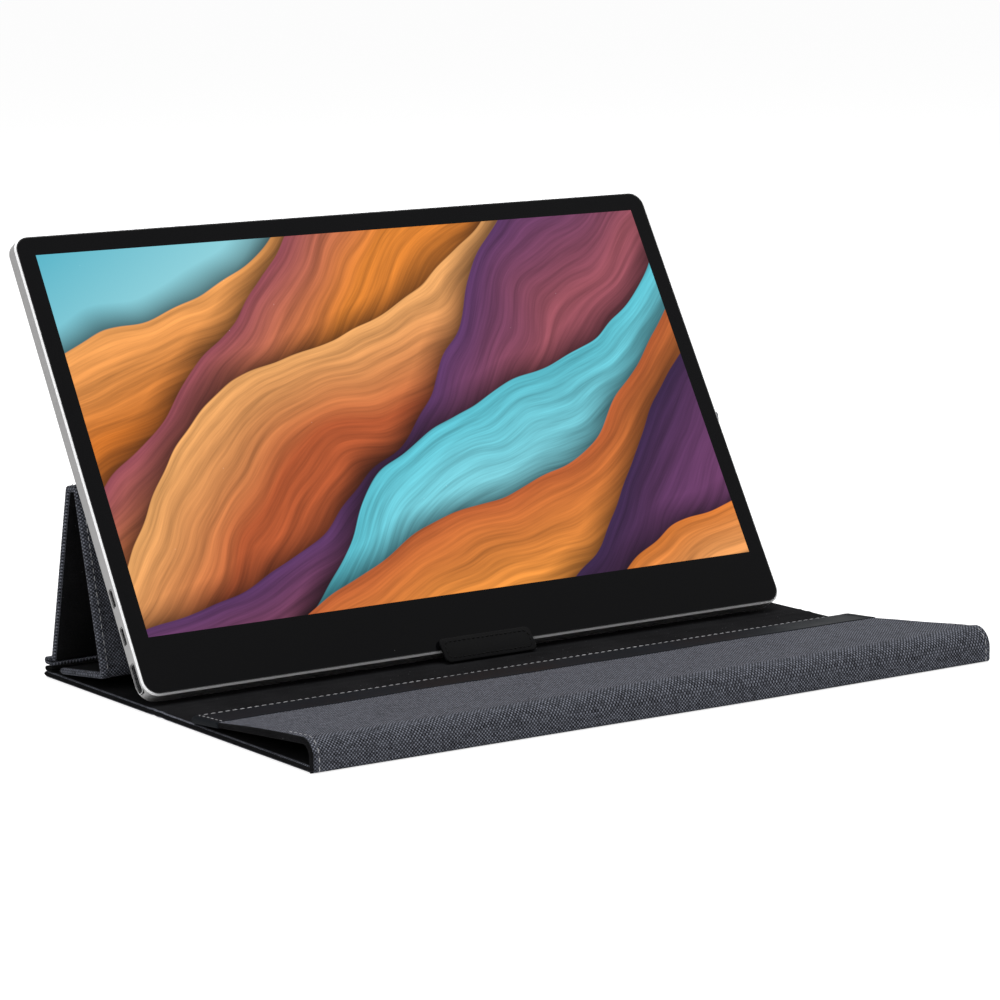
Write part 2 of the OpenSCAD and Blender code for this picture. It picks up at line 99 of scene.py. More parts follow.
screen_up = Vector((0, math.sin(lean), math.cos(lean)))
screen_back = Vector((0, math.cos(lean), -math.sin(lean)))
glass_foot = mon_foot - mon_t * screen_back + Vector((mon_x, 0, 0))
print("lower edge of the glass at", [round(c, 1) for c in glass_foot], "mm")

# %% [markdown]
# ## Camera
#
# The camera stands to the left of the front and a little above the table, far away with a long lens,
# so that the panels taper only slightly. Its place was solved from the corners of the picture area
# and the edges of the cover.

# %% Camera
FRAME_PX = 1000
SENSOR_MM = 36


def add_object(name, data):
    obj = bpy.data.objects.new(name, data)
    bpy.context.scene.collection.objects.link(obj)
    return obj


def add_camera(place, azimuth, down, roll, focal_px):
    az, el, ro = (math.radians(a) for a in (azimuth, down, roll))
    ahead = Vector((math.sin(az) * math.cos(el), math.cos(az) * math.cos(el), -math.sin(el)))
    right = ahead.cross(Vector((0, 0, 1))).normalized()
    up = right.cross(ahead)
    right, up = right * math.cos(ro) + up * math.sin(ro), up * math.cos(ro) - right * math.sin(ro)
    data = bpy.data.cameras.new("camera")
    data.sensor_width = SENSOR_MM
    data.lens = focal_px / FRAME_PX * SENSOR_MM
    data.clip_start, data.clip_end = 0.05, 50
    obj = add_object("camera", data)
    obj.matrix_world = Matrix((right, up, -ahead)).transposed().to_4x4()
    obj.location = place
    bpy.context.scene.camera = obj
    return obj


camera = add_camera((-0.95075, -1.40487, 0.36418), azimuth=33.89, down=9.48, roll=-0.91, focal_px=3657.3)
print("lens", round(camera.data.lens, 1), "mm")

# %% [markdown]
# ## Shader helpers
#
# A procedural finish is a small sum of functions: thread number, distance across a thread, noise.
# Short helpers keep such sums readable, since each node would otherwise take three lines. A value
# may be another node's output, a plain number or a colour.

# %% Shader helpers
def socket(tree, value, target):
    if hasattr(value, "is_output"):
        tree.links.new(value, target)
    elif isinstance(value, (tuple, list)) and len(value) == 3 and target.type == "RGBA":
        target.default_value = (*value, 1)
    else:
        target.default_value = value


def math_node(tree, operation, *values):
    node = tree.nodes.new("ShaderNodeMath")
    node.operation = operation
    for i, value in enumerate(values):
        socket(tree, value, node.inputs[i])
    return node.outputs[0]


def combine(tree, x, y, z=0.0):
    node = tree.nodes.new("ShaderNodeCombineXYZ")
    for i, value in enumerate((x, y, z)):
        socket(tree, value, node.inputs[i])
    return node.outputs[0]


def mix(tree, factor, a, b, kind="MIX"):
    node = tree.nodes.new("ShaderNodeMix")
    node.data_type = "RGBA"
    node.blend_type = kind
    socket(tree, factor, node.inputs[0])
    socket(tree, a, node.inputs[6])
    socket(tree, b, node.inputs[7])
    return node.outputs[2]


def shade(tree, colour, amount):
    """A colour times a plain number."""
    return mix(tree, 1.0, colour, combine(tree, amount, amount, amount), "MULTIPLY")


def fit_range(tree, value, low, high, to_low, to_high):
    node = tree.nodes.new("ShaderNodeMapRange")
    for i, v in enumerate((value, low, high, to_low, to_high)):
        socket(tree, v, node.inputs[i])
    return node.outputs[0]


# %% Pattern helpers
def coordinates(tree, kind):
    return tree.nodes.new("ShaderNodeTexCoord").outputs[kind]


def noise(tree, vector, scale, detail=2.0, rough=0.5):
    node = tree.nodes.new("ShaderNodeTexNoise")
    tree.links.new(vector, node.inputs["Vector"])
    node.inputs["Scale"].default_value = scale
    node.inputs["Detail"].default_value = detail
    node.inputs["Roughness"].default_value = rough
    return node.outputs[0]


def cell_distance(tree, vector, scale, feature="F1"):
    node = tree.nodes.new("ShaderNodeTexVoronoi")
    node.feature = feature
    tree.links.new(vector, node.inputs["Vector"])
    node.inputs["Scale"].default_value = scale
    return node.outputs["Distance"]


def bump(tree, height, depth, strength=1.0):
    node = tree.nodes.new("ShaderNodeBump")
    node.inputs["Distance"].default_value = depth
    node.inputs["Strength"].default_value = strength
    tree.links.new(height, node.inputs["Height"])
    return node.outputs[0]


def new_finish(name, **inputs):
    """A material with its node tree and shader, and plain values for some of the shader's inputs."""
    material = bpy.data.materials.new(name)
    material.use_nodes = True
    tree = material.node_tree
    shader = tree.nodes["Principled BSDF"]
    for key, value in inputs.items():
        shader.inputs[key.replace("_", " ")].default_value = value
    return material, tree, shader


def wire(tree, shader, **outputs):
    """Links an output to each named input of the shader."""
    for key, value in outputs.items():
        tree.links.new(value, shader.inputs[key.replace("_", " ")])


print("shader helpers ready")

# %% [markdown]
# ## Woven cloth
#
# The outside of the cover is a coarse plain weave of two yarns, a lighter and a darker blue-grey.
# A weave could be a photo texture, but then it would have one fixed size. Here the cloth's UV map is
# in metres, so thread numbers come from dividing it by the thread pitch, and each crossing shows the
# yarn that lies on top. Uneven yarn is a slightly random brightness along each thread and at each
# crossing. It stays small, because the regular crossings are what draws the slanting lines on the
# cloth when it is seen at a low angle.

# %% Woven cloth
thread_pitch = 0.84 * MM
thread_depth = 0.18 * MM
thread_sway = 0.6 * MM
light_yarn, dark_yarn = (0.235, 0.248, 0.298), (0.008, 0.0085, 0.010)


def woven_finish(name, light, dark):
    material, tree, shader = new_finish(name, Specular_IOR_Level=0.05, Sheen_Weight=0.02)
    m = partial(math_node, tree)
    cloth = coordinates(tree, "UV")
    uv = tree.nodes.new("ShaderNodeSeparateXYZ")
    tree.links.new(cloth, uv.inputs[0])
    sway = m("MULTIPLY", noise(tree, cloth, scale=60, detail=1), thread_sway)
    across, along = (m("DIVIDE", m("ADD", uv.outputs[i], sway), thread_pitch) for i in (0, 1))

    # Where the point lies on its two threads, and which of them is on top.
    warp_no, weft_no = m("FLOOR", across), m("FLOOR", along)
    warp_round, weft_round = (m("SINE", m("MULTIPLY", m("FRACT", v), math.pi)) for v in (across, along))
    warp_on_top = m("LESS_THAN", m("FLOORED_MODULO", m("ADD", warp_no, weft_no), 2.0), 0.5)
    crown = m("MULTIPLY", m("ADD", warp_round, weft_round), 0.5)
    height = m("MULTIPLY", crown, m("MULTIPLY", warp_round, weft_round))

    def yarn(thread_no, step, run, start):
        """Noise that changes slowly along a thread and fully from one thread to the next."""
        place = combine(tree, m("MULTIPLY", thread_no, step), m("MULTIPLY", run, 0.09), start)
        return noise(tree, place, scale=1)

    warp_tone = fit_range(tree, yarn(warp_no, 3.7, along, 0.0), 0.3, 0.7, 0.68, 1.12)
    weft_tone = fit_range(tree, yarn(weft_no, 5.3, across, 7.0), 0.3, 0.7, 0.0, 0.26)
    tone = m("ADD", m("MULTIPLY", warp_on_top, warp_tone),
             m("MULTIPLY", m("SUBTRACT", 1.0, warp_on_top), weft_tone))

    # Uneven yarn, at each crossing, in soft patches and in flecks of two threads.
    crossing = tree.nodes.new("ShaderNodeTexWhiteNoise")
    crossing.noise_dimensions = "2D"
    tree.links.new(combine(tree, warp_no, weft_no), crossing.inputs[0])
    patches = noise(tree, cloth, scale=45, detail=3)
    flecks = noise(tree, combine(tree, m("MULTIPLY", across, 0.5), m("MULTIPLY", along, 0.5)),
                   scale=1, detail=3, rough=0.7)
    for uneven, *limits in ((crossing.outputs[0], 0, 1, 0.55, 1.4), (patches, 0.3, 0.7, 0.92, 1.08),
                            (flecks, 0.3, 0.7, 0.9, 1.1)):
        tone = m("MULTIPLY", tone, fit_range(tree, uneven, *limits))

    # Painted shade: the colour is darker in the hollows between the threads, down to 0.35 of it.
    gap_shade = fit_range(tree, height, 0.0, 0.7, 0.35, 1.0)
    wire(tree, shader, Base_Color=shade(tree, mix(tree, tone, dark, light), gap_shade),
         Normal=bump(tree, height, thread_depth), Roughness=fit_range(tree, tone, 0, 1, 0.95, 0.8))
    return material


woven_blue_grey = woven_finish("woven_blue_grey", light_yarn, dark_yarn)
print("thread pitch", round(thread_pitch / MM, 2), "mm")

# %% [markdown]
# ## Other soft finishes
#
# The lining is a short, dark pile with a few pale specks of lint. The band on the flap and the tab
# are smooth coated sheet with a fine grain. In both, noise or cells of under a millimetre make the
# bump, and noise of some centimetres changes the colour a little, as where a hand has brushed it.

# %% Soft finishes
def pile_finish(name, colour, lift, specks=True):
    material, tree, shader = new_finish(name, Roughness=0.95, Specular_IOR_Level=0.02)
    place = coordinates(tree, "Object")
    fine = noise(tree, place, scale=2200, detail=3, rough=0.6)
    brushed = noise(tree, place, scale=28, detail=3, rough=0.6)
    pale = tuple(c * lift for c in colour)
    pile = mix(tree, fit_range(tree, fine, 0.35, 0.65, 0, 1), colour, pale)
    pile = shade(tree, pile, fit_range(tree, brushed, 0.35, 0.65, 0.75, 1.3))
    if specks:
        lint = math_node(tree, "LESS_THAN", cell_distance(tree, place, scale=260), 0.05)
        pile = mix(tree, math_node(tree, "MULTIPLY", lint, 0.5), pile, (0.2, 0.2, 0.21))
    wire(tree, shader, Base_Color=pile, Normal=bump(tree, fine, 0.12 * MM, 0.7))
    return material


def grain_finish(name, colour, scale, depth, rough, gloss=0.05, tint=(1.0, 1.0, 1.0)):
    material, tree, shader = new_finish(name, Specular_IOR_Level=gloss, Specular_Tint=(*tint, 1.0))
    place = coordinates(tree, "Object")
    edges = math_node(tree, "MINIMUM", cell_distance(tree, place, scale, "DISTANCE_TO_EDGE"), 0.25)
    fine = math_node(tree, "MULTIPLY", noise(tree, place, scale * 2.5), 0.25)
    wear = noise(tree, place, scale=22, detail=3, rough=0.6)
    worn = tuple(c * 1.5 for c in colour)
    wire(tree, shader, Base_Color=mix(tree, fit_range(tree, wear, 0.4, 0.7, 0, 1), colour, worn),
         Roughness=fit_range(tree, wear, 0.35, 0.65, rough - 0.07, rough + 0.08),
         Normal=bump(tree, math_node(tree, "ADD", edges, fine), depth, 0.8))
    return material


black_lining = pile_finish("black_lining", (0.0046, 0.0046, 0.005), lift=2.4)
smooth_band = grain_finish("smooth_band", (0.0044, 0.0054, 0.0068), scale=1900, depth=0.05 * MM,
                           rough=0.55, gloss=0.03, tint=(0.72, 0.84, 1.0))
tab_hide = grain_finish("tab_hide", (0.0045, 0.0045, 0.0048), scale=1300, depth=0.12 * MM, rough=0.75)
pale_thread = pile_finish("pale_thread", (0.30, 0.30, 0.31), lift=1.5, specks=False)
black_thread = pile_finish("black_thread", (0.006, 0.006, 0.006), lift=3.0, specks=False)
print("soft finishes ready")

# %% [markdown]
# ## Hard finishes
#
# The housing is bead-blasted aluminium with a cut chamfer next to the glass. One material
# does both: it works out how far behind the glass a point lies, from the monitor's lean, and is
# paler in the first millimetre. That pale, mostly non-metal colour is partly the chamfer's own cut
# finish and partly a painted highlight for its bright glint. The pieces inside share one plain,
# slightly speckled finish.

# %% Housing finish
chamfer_w = 0.85 * MM


def monitor_distance(tree, axis):
    """Distance from the glass's lower edge along one axis of the monitor, in metres."""
    shift, along = (tree.nodes.new("ShaderNodeVectorMath") for _ in range(2))
    shift.operation, along.operation = "SUBTRACT", "DOT_PRODUCT"
    tree.links.new(coordinates(tree, "Object"), shift.inputs[0])
    shift.inputs[1].default_value = glass_foot * MM
    tree.links.new(shift.outputs[0], along.inputs[0])
    along.inputs[1].default_value = axis
    return along.outputs["Value"]


def housing_finish():
    material, tree, shader = new_finish("blasted_aluminium")
    place = coordinates(tree, "Object")
    cut = math_node(tree, "LESS_THAN", monitor_distance(tree, screen_back), chamfer_w)
    handled = fit_range(tree, noise(tree, place, scale=30, detail=3), 0.35, 0.65, 0.49, 0.54)
    blast = math_node(tree, "MULTIPLY", noise(tree, place, scale=5200, rough=0.6),
                      fit_range(tree, cut, 0, 1, 1, 0))
    # Painted highlight: the chamfer's colour is near-white and mostly non-metal, partly its cut finish
    # and partly standing in for its glint.
    wire(tree, shader, Base_Color=mix(tree, cut, (0.33, 0.325, 0.325), (0.95, 0.95, 0.96)),
         Roughness=mix(tree, cut, combine(tree, handled, handled, handled), (0.5, 0.5, 0.5)),
         Metallic=fit_range(tree, cut, 0, 1, 0.7, 0.15), Normal=bump(tree, blast, 0.03 * MM, 0.6))
    return material


# %% Finishes of the pieces inside
def speckled_finish(name, colour, rough, metallic=0.0, scale=900, depth=0.02 * MM):
    material, tree, shader = new_finish(name, Metallic=metallic)
    place = coordinates(tree, "Object")
    fine, broad = noise(tree, place, scale), noise(tree, place, scale / 20, detail=3)
    darker = tuple(c * 0.75 for c in colour)
    wire(tree, shader, Base_Color=mix(tree, fit_range(tree, broad, 0.3, 0.7, 0, 1), darker, colour),
         Roughness=fit_range(tree, fine, 0.3, 0.7, rough - 0.05, rough + 0.06),
         Normal=bump(tree, fine, depth, 0.5))
    return material


slot_finish = {
    "stiff_board": speckled_finish("grey_board", (0.30, 0.28, 0.24), 0.85, scale=500, depth=0.05 * MM),
    "steel": speckled_finish("plated_steel", (0.62, 0.62, 0.63), 0.28, metallic=1.0),
    "magnet": speckled_finish("nickel_plate", (0.7, 0.68, 0.64), 0.18, metallic=1.0),
    "gasket": speckled_finish("black_rubber", (0.008, 0.008, 0.008), 0.6),
    "display_cell": speckled_finish("display_panel", (0.03, 0.035, 0.05), 0.12),
    "diffuser": speckled_finish("white_film", (0.8, 0.8, 0.82), 0.5),
    "light_guide": speckled_finish("clear_plate", (0.7, 0.76, 0.78), 0.1),
    "led_bar": speckled_finish("lamp_strip", (0.85, 0.82, 0.6), 0.4),
    "circuit_board": speckled_finish("green_mask", (0.015, 0.09, 0.04), 0.35),
    "black_plastic": speckled_finish("moulded_black", (0.02, 0.02, 0.02), 0.5),
    "flat_cable": speckled_finish("amber_film", (0.55, 0.25, 0.05), 0.3),
    "housing": housing_finish(),
    "woven_cloth": woven_blue_grey,
    "lining": black_lining,
    "smooth_band": smooth_band,
    "tab_leather": tab_hide,
}
print("finishes of the slots:", len(slot_finish))

# %% [markdown]
# ## Front glass with its picture
#
# The glass is black from behind except where the panel shines through. The picture is a generic one:
# overlapping silk ribbons in violet, rust, orange and blue-green, laid from the back to the front.
# Each has a wavy edge, a soft shadow on the ribbon behind it and fine streaks along its length. It is
# emission, since a screen makes its own light, under a clear gloss.

# %% Ribbon picture
PICTURE_ASPECT = 1.78
SLANT_DOWN, SLANT_ACROSS = 0.88, 0.55

# Each ribbon: place of its edge, height, waves and start of its edge line, then its two colours.
RIBBONS = [
    (0.24, 0.10, 3.1, 0.4, (0.86, 0.36, 0.10), (0.62, 0.17, 0.02)),
    (0.42, 0.12, 2.6, 2.2, (0.30, 0.07, 0.10), (0.75, 0.23, 0.03)),
    (0.66, 0.09, 3.6, 4.3, (0.88, 0.42, 0.14), (0.48, 0.10, 0.03)),
    (0.86, 0.13, 2.3, 1.2, (0.10, 0.035, 0.13), (0.30, 0.075, 0.10)),
    (1.07, 0.08, 4.1, 3.0, (0.10, 0.52, 0.62), (0.24, 0.66, 0.74)),
    (1.22, 0.10, 2.9, 5.2, (0.50, 0.11, 0.03), (0.85, 0.30, 0.05)),
    (1.45, 0.12, 2.4, 0.9, (0.035, 0.015, 0.06), (0.17, 0.05, 0.15)),
    (1.72, 0.10, 3.3, 2.6, (0.72, 0.20, 0.03), (0.90, 0.44, 0.16)),
]


def ribbon_picture(tree, u, v):
    m = partial(math_node, tree)
    wide, fall = m("MULTIPLY", u, PICTURE_ASPECT), m("SUBTRACT", 1.0, v)
    down = m("ADD", m("MULTIPLY", fall, SLANT_DOWN), m("MULTIPLY", wide, SLANT_ACROSS))
    level = m("SUBTRACT", m("MULTIPLY", wide, SLANT_DOWN), m("MULTIPLY", fall, SLANT_ACROSS))
    drift = m("SUBTRACT", noise(tree, combine(tree, wide, v), scale=1.7), 0.5)
    drifted = m("ADD", down, m("MULTIPLY", drift, 0.22))
    picture = mix(tree, fit_range(tree, down, 0, 0.4, 0, 1), (0.10, 0.46, 0.58), (0.33, 0.70, 0.76))
    for place, rise, waves, start, near, far in RIBBONS:
        edge = m("MULTIPLY", m("SINE", m("ADD", m("MULTIPLY", level, waves), start)), rise)
        inside = m("SUBTRACT", m("SUBTRACT", drifted, edge), place)
        strand = combine(tree, m("MULTIPLY", inside, 46), m("MULTIPLY", level, 1.6), start)
        streak = fit_range(tree, noise(tree, strand, scale=1, detail=4, rough=0.65), 0.3, 0.7, 0.62, 1.3)
        silk = shade(tree, mix(tree, fit_range(tree, inside, 0.0, 0.26, 0, 1), near, far), streak)
        picture = shade(tree, picture, fit_range(tree, inside, -0.07, 0.0, 1.0, 0.25))
        picture = mix(tree, fit_range(tree, inside, 0.0, 0.003, 0, 1), picture, silk)
    return picture


# %% Glass finish
picture_depth = 0.3 * MM


def glass_finish():
    material, tree, shader = new_finish("front_glass", Specular_IOR_Level=0.06, Emission_Strength=1.0)
    m = partial(math_node, tree)
    across, behind, up = (monitor_distance(tree, axis) for axis in ((1, 0, 0), screen_back, screen_up))
    u = m("DIVIDE", m("ADD", across, glass_w / 2 * MM), glass_w * MM)
    v = m("DIVIDE", m("SUBTRACT", up, chin_h * MM), glass_h * MM)
    inside_u, inside_v = (m("LESS_THAN", m("ABSOLUTE", m("SUBTRACT", c, 0.5)), 0.5) for c in (u, v))
    lit = m("MULTIPLY", m("MULTIPLY", inside_u, inside_v), m("LESS_THAN", behind, picture_depth))
    place = coordinates(tree, "Object")
    dust = m("LESS_THAN", cell_distance(tree, place, scale=60), 0.018)
    smears = noise(tree, place, scale=14, detail=4, rough=0.6)
    wire(tree, shader,
         Base_Color=mix(tree, m("MULTIPLY", dust, 0.35), (0.003, 0.003, 0.0035), (0.3, 0.3, 0.3)),
         Roughness=fit_range(tree, smears, 0.3, 0.7, 0.07, 0.16),
         Emission_Color=mix(tree, lit, (0.0, 0.0, 0.0), ribbon_picture(tree, u, v)))
    return material


slot_finish["front_glass"] = glass_finish()
print("picture area", glass_w, "by", glass_h, "mm")

# %% [markdown]
# ## Finishing the solids that stay
#
# Every solid gets the finish of its material slot. The record says which slot each has.

# %% Finish the solids
slot_of = {s["node"]: s["material_slot"] for s in frame["record"]["subparts"]}
for name, solid in nodes.items():
    solid.data.materials.clear()
    solid.data.materials.append(slot_finish[slot_of[name]])
print("finished", len(nodes), "solids")

# %% [markdown]
# ## Paths for panels
#
# A panel of the cover is cloth over a board, with a turned hem at both sides and a lining on the
# inner face. Seen from its end it follows a path: straight runs with a small round bend at each
# crease. The path is cut into short, even steps, so that the cloth's quads stay regular.

# %% Panel path
def round_corner(a, b, c, r):
    """Points round the corner b of the lines a-b and b-c."""
    u, v = (a - b).normalized(), (c - b).normalized()
    half = math.acos(max(-1, min(1, u.dot(v)))) / 2
    cut = min(r / math.tan(half), (a - b).length * 0.49, (c - b).length * 0.49)
    r = cut * math.tan(half)
    middle = b + (u + v).normalized() * (r / math.sin(half))
    start, end = b + u * cut - middle, b + v * cut - middle
    turn, n = -start.angle_signed(end), max(4, int((math.pi - 2 * half) * r / 0.5))
    out = []
    for k in range(n + 1):
        co, si = math.cos(turn * k / n), math.sin(turn * k / n)
        out.append(middle + Vector((start.x * co - start.y * si, start.x * si + start.y * co)))
    return out


def smooth_path(corners, radius, step=1.5):
    """A path in YZ through corners, each rounded, as evenly spaced points."""
    corners = [Vector(c) for c in corners]
    pts = [corners[0]]
    for i in range(1, len(corners) - 1):
        pts += round_corner(*corners[i - 1:i + 2], radius[i] if isinstance(radius, dict) else radius)
    pts.append(corners[-1])
    dense = [pts[0]]
    for p in pts[1:]:
        a = dense[-1]
        gap = (p - a).length
        if gap >= 1e-4:
            parts = max(1, int(gap / step))
            dense.extend(a + (p - a) * (k + 1) / parts for k in range(parts))
    return dense


def path_frame(path):
    """Length so far, direction and inner normal at each point of a path."""
    out, length = [], 0.0
    for i, p in enumerate(path):
        t = (path[min(len(path) - 1, i + 1)] - path[max(0, i - 1)]).normalized()
        if i:
            length += (p - path[i - 1]).length
        out.append((length, t, Vector((-t.y, t.x))))
    return out


print("path helpers ready")

# %% [markdown]
# ## Rings for panels
#
# The panel itself is one ring of points, a flat oblong with round short sides, repeated along its
# path. Sweeping a profile in this way gives clean quads, true lengths for the weave, and a place to
# switch from cloth to lining halfway round the edge. Where a panel has a free end, the last rings
# are pinched together, so that the end is round as well.

# %% Rings along the path
END_STEPS = (0.0, 0.25, 0.6, 0.85, 1.0)
END_RADIUS = 1.4
COLUMNS = 92
ARC = 8
SIDE_RADIUS = 1.45
HEM_W = 5.0


def round_end(station, radius, way):
    """Pinched rings that close a panel, way +1 at its start and -1 at its end."""
    p, s, t, n, _ = station
    out = []
    for c in END_STEPS[::way]:
        back = radius * (1 - math.cos(c * math.pi / 2)) * way
        out.append((p + t * back, s + back, t, n, radius * (1 - math.sin(c * math.pi / 2))))
    return out


def panel_stations(path, radius, round_ends):
    """Place, length so far, direction, inner normal and pinch of each ring."""
    stations = [(p, s, t, n, 0.0) for p, (s, t, n) in zip(path, path_frame(path))]
    first, last, clear = stations[0], stations[-1], radius + 0.05
    if round_ends[0]:
        stations = round_end(first, radius, 1) + [st for st in stations if st[1] > clear]
    if round_ends[1]:
        stations = [st for st in stations if st[1] < last[1] - clear] + round_end(last, radius, -1)
    return stations, last[1]


def panel_ring(half, thick, side_r):
    """Points round the section: place across, share of the thickness and place on the cloth.
    Also gives how many of them lie on each face."""
    flat = [-half + side_r + (2 * half - 2 * side_r) * i / COLUMNS for i in range(COLUMNS + 1)]
    flat += [side * (half - HEM_W + step) for side in (-1, 1) for step in (-0.1, 0.1)]
    flat.sort()
    right, left = [], []
    for k in range(1, ARC):
        a = math.pi * k / ARC
        out, deep, wrap = side_r * math.sin(a), 0.5 - 0.5 * math.cos(a), thick * k / ARC
        right.append((half - side_r + out, deep, half - side_r + wrap))
        left.append((-half + side_r - out, 1 - deep, -half + side_r - thick + wrap))
    outer, inner = [(x, 0.0, x) for x in flat], [(x, 1.0, x) for x in reversed(flat)]
    return outer + right + inner + left, len(flat)


print("ring of", len(panel_ring(half_w, panel_t, SIDE_RADIUS)[0]), "points")

# %% [markdown]
# ## Mesh of a panel
#
# The rings are joined with quads. Three small things make it look sewn: a groove in the middle of
# each side edge, a hem that stands slightly above the face, and a shape function that lets the
# cloth bulge, sag and wave.

# %% Panel mesh
OUTER, INNER, EDGE = 0, 1, 2
GROOVE = 0.25
HEM_LIFT = 0.12


def outwards(mesh):
    bm = bmesh.new()
    bm.from_mesh(mesh)
    bmesh.ops.recalc_face_normals(bm, faces=bm.faces)
    bm.to_mesh(mesh)
    bm.free()


def end_cap(cap):
    """Quads that close an end ring, from one side edge to the other."""
    n = len(cap)
    return [(cap[i], cap[i + 1], cap[n - 2 - i], cap[n - 1 - i]) for i in range(n // 2 - 1)]


def soft_panel(name, path, thick=panel_t, half=half_w, shape=None, low=0.0, side_r=SIDE_RADIUS,
               finishes=None, round_ends=(True, True), edge_slots=(EDGE,) * ARC, outer_only=False):
    """A padded panel along a path. shape(x, s, total) gives a shift outwards in millimetres.
    edge_slots are the finishes across a side edge, from the outer face to the inner one. With
    outer_only the shift fades to nothing at the inner face."""
    stations, total = panel_stations(path, min(END_RADIUS, thick / 2), round_ends)
    ring, n_flat = panel_ring(half, thick, side_r)
    n_ring = len(ring)
    grooves = (n_flat + ARC // 2 - 1, n_ring - ARC // 2)
    verts = []
    for p, s, t, n, pinch in stations:
        for j, (x, d, u) in enumerate(ring):
            lift = shape(x, s, total) * (1 - d if outer_only else 1) if shape else 0.0
            lift += HEM_LIFT if abs(x) > half - HEM_W and d < 0.5 and pinch == 0 else 0.0
            q = p + n * (pinch + (thick - 2 * pinch) * d + low - lift)
            verts.append(Vector((x - math.copysign(GROOVE, x) * (j in grooves), q.x, q.y)) * MM)

    ring_slots = (OUTER,) * (n_flat - 1) + edge_slots + (INNER,) * (n_flat - 1) + edge_slots[::-1]
    faces, slots, uvs = [], [], []
    for i in range(len(stations) - 1):
        a, b = i * n_ring, (i + 1) * n_ring
        v0, v1 = stations[i][1] * MM, stations[i + 1][1] * MM
        for j in range(n_ring):
            k = (j + 1) % n_ring
            u0, u1 = ring[j][2] * MM, ring[k][2] * MM
            faces.append((a + j, a + k, b + k, b + j))
            uvs.append(((u0, v0), (u1, v0), (u1, v1), (u0, v1)))
        slots += ring_slots
    last = (len(stations) - 1) * n_ring
    for cap in (range(n_ring - 1, -1, -1), range(last, last + n_ring)):
        for face in end_cap(cap):
            faces.append(face)
            uvs.append([(verts[q].x, verts[q].z) for q in face])
            slots.append(EDGE)
    return cloth_object(name, verts, faces, uvs, slots,
                        finishes or (woven_blue_grey, black_lining, woven_blue_grey))


def cloth_object(name, verts, faces, uvs, slots, finishes):
    mesh = bpy.data.meshes.new(name)
    mesh.from_pydata(verts, [], faces)
    layer = mesh.uv_layers.new(name="UVMap")
    for finish in finishes:
        mesh.materials.append(finish)
    for polygon, corners, slot in zip(mesh.polygons, uvs, slots):
        polygon.material_index = slot
        for loop, uv in zip(polygon.loop_indices, corners):
            layer.data[loop].uv = uv
    mesh.shade_smooth()
    outwards(mesh)
    return add_object(name, mesh)


print("panel maker ready")

# %% [markdown]
# ## Base of the cover
#
# The base lies flat on the table. Halfway there is a soft crease between its two boards, where the
# lining stands up in a low double ridge. Its underside is a little above the table, because the
# hem stands out by about as much.

# %% Base panel
crease_y = 12.5
ridge = 0.27
base_low = 0.14
spine_gap = 0.3


def bell(value, centre, width):
    return math.exp(-((value - centre) / width) ** 2)


def base_shape(x, s, total):
    y = front_y + s
    return -ridge * (bell(y, crease_y + 3, 1.6) + bell(y, crease_y - 4, 1.6))


base_path = smooth_path([(front_y + spine_gap, base_low), (rear_y, base_low)], 1, step=2.0)
base_panel = soft_panel("base_panel", base_path, thick=panel_t - base_low, shape=base_shape,
                        edge_slots=(EDGE, EDGE, EDGE, INNER, INNER, INNER, EDGE, EDGE))
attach(base_panel, "base")
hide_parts("base_cloth", "base_lining")
print("base", len(base_panel.data.polygons), "faces")

# %% [markdown]
# ## Front spine and closure flap
#
# The cover's front edge turns up, rounds over and comes back as the closure flap. On the real cover
# this is one piece of cloth, so here it is one panel, bent round the front edge. Its front bulges
# forwards, more so to the right, and its tail sags a little towards the base. The path runs up and
# over, so its inner side is on the right, and the panel takes it from its other end.

# %% Path of the flap
fold_h, fold_r = 14.5, 8.0
fold_c = Vector((front_y + fold_r, fold_h - fold_r))
flap_tail = Vector((-20.6, panel_t + rest_gap + panel_t))
reach = (fold_c - flap_tail).length
flap_a = angle_between(flap_tail, fold_c) - math.degrees(math.asin(fold_r / reach))
flap_l = math.sqrt(reach ** 2 - fold_r ** 2)
rise_low, rise_step = 0.1, 0.8
rise_steps, turn_steps, flap_steps = round((fold_c.y - rise_low) / rise_step), 24, 60
flap_path = [Vector((front_y, rise_low + rise_step * k)) for k in range(rise_steps)]
flap_path += [fold_c + fold_r * direction(180 - (270 - flap_a) * k / turn_steps)
              for k in range(1, turn_steps + 1)]
flap_top = flap_path[-1]
flap_path += [flap_top + (flap_tail - flap_top) * k / flap_steps for k in range(1, flap_steps + 1)]
flap_total = path_frame(flap_path)[-1][0]
print("flap leans", round(180 - flap_a, 2), "degrees and is", round(flap_l, 1), "mm long")

# %% Flap panel
front_push, right_hump, tail_sag = 4.6, 0.9, 0.4


def ramp(value):
    return min(1.0, max(0.0, value))


def flap_shape(x, s, total):
    """How far the cloth stands out at x, a length s from the cover's front edge."""
    push = front_push * min(1.0, (x + half_w) / half_w / 1.2)
    push *= math.cos(min(math.pi / 2, max(0.0, (s - fold_c.y) / fold_r)))
    hump = right_hump * max(0.0, (x - 60) / (half_w - 60)) ** 2 * bell(s, 20, 26) * ramp((s - 5) / 14)
    sag = tail_sag * bell(total - s, 21, 13)
    waves = 0.245 * math.sin(x / 31 + s / 23) + 0.14 * math.sin(x / 13 - s / 17)
    waves *= ramp((s - 10) / 20) * ramp((total - s - 8) / 20)
    return push + hump + waves - sag


flap_panel = soft_panel("flap_panel", flap_path[::-1], outer_only=True,
                        shape=lambda x, s, total: flap_shape(x, total - s, total),
                        edge_slots=(EDGE,) + (INNER,) * (ARC - 1))
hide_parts("spine_cloth", "spine_lining", "flap_cloth", "flap_lining")
print("flap", len(flap_panel.data.polygons), "faces")

